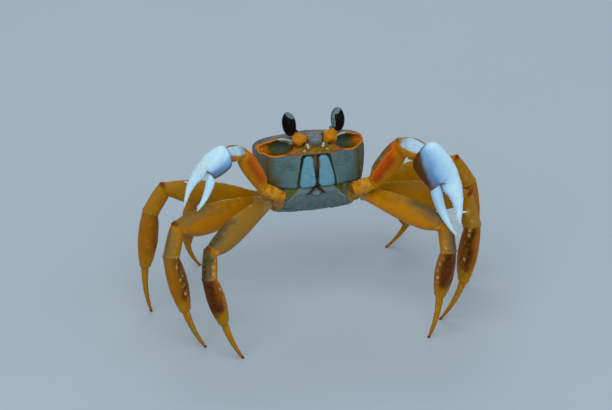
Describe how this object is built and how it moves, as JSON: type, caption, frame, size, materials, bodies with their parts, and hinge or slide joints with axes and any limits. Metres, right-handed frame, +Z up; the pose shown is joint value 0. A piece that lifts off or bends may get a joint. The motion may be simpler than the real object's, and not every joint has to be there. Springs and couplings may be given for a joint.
{
  "type": "atlantic ghost crab",
  "caption": "Still life-size model of a ghost crab standing high on its walking legs, with tall eyestalks and unequal claws hanging in front; for display and natural scenes.",
  "frame": {"origin": "centre of the bounding box of the standing crab, on the floor that its toes rest on", "axes": "+Z up; -Y is the way the crab faces; +X is the crab's left, and the span between the legs' knees runs along X"},
  "size_m": [0.126, 0.0788, 0.0798],
  "materials": {
    "shell": "satin shell, finely grained, grey green with olive and straw tints",
    "chest": "satin grey blue with pale green rims",
    "mouth_plate": "satin blue white",
    "stalk": "satin orange yellow",
    "eye": "glossy near black",
    "arm_orange": "satin red orange",
    "claw_white": "satin porcelain white with blue and brown tints",
    "leg_amber": "satin amber with grey mottling",
    "leg_brown": "satin brown with pale spots"
  },
  "bodies": {
    "root": {"abdomen": "shell", "carapace": "shell", "left_antenna": "stalk", "left_arm_carpus": "claw_white", "left_arm_ischium": "arm_orange", "left_arm_merus": "arm_orange", "left_claw_dactyl": "claw_white", "left_claw_palm": "claw_white", "left_eye": "eye", "left_eyestalk": "stalk", "left_leg_1_carpus": "leg_amber", "left_leg_1_dactyl": "leg_amber", "left_leg_1_merus": "leg_amber", "left_leg_1_propodus": "leg_brown", "left_leg_2_carpus": "leg_amber", "left_leg_2_dactyl": "leg_amber", "left_leg_2_merus": "leg_amber", "left_leg_2_propodus": "leg_brown", "left_leg_3_carpus": "leg_amber", "left_leg_3_dactyl": "leg_amber", "left_leg_3_merus": "leg_amber", "left_leg_3_propodus": "leg_brown", "left_leg_4_carpus": "leg_amber", "left_leg_4_dactyl": "leg_amber", "left_leg_4_merus": "leg_amber", "left_leg_4_propodus": "leg_brown", "left_maxilliped": "mouth_plate", "right_antenna": "stalk", "right_arm_carpus": "claw_white", "right_arm_ischium": "arm_orange", "right_arm_merus": "arm_orange", "right_claw_dactyl": "claw_white", "right_claw_palm": "claw_white", "right_eye": "eye", "right_eyestalk": "stalk", "right_leg_1_carpus": "leg_amber", "right_leg_1_dactyl": "leg_amber", "right_leg_1_merus": "leg_amber", "right_leg_1_propodus": "leg_brown", "right_leg_2_carpus": "leg_amber", "right_leg_2_dactyl": "leg_amber", "right_leg_2_merus": "leg_amber", "right_leg_2_propodus": "leg_brown", "right_leg_3_carpus": "leg_amber", "right_leg_3_dactyl": "leg_amber", "right_leg_3_merus": "leg_amber", "right_leg_3_propodus": "leg_brown", "right_leg_4_carpus": "leg_amber", "right_leg_4_dactyl": "leg_amber", "right_leg_4_merus": "leg_amber", "right_leg_4_propodus": "leg_brown", "right_maxilliped": "mouth_plate", "thorax": "chest"}
  },
  "joints": []
}
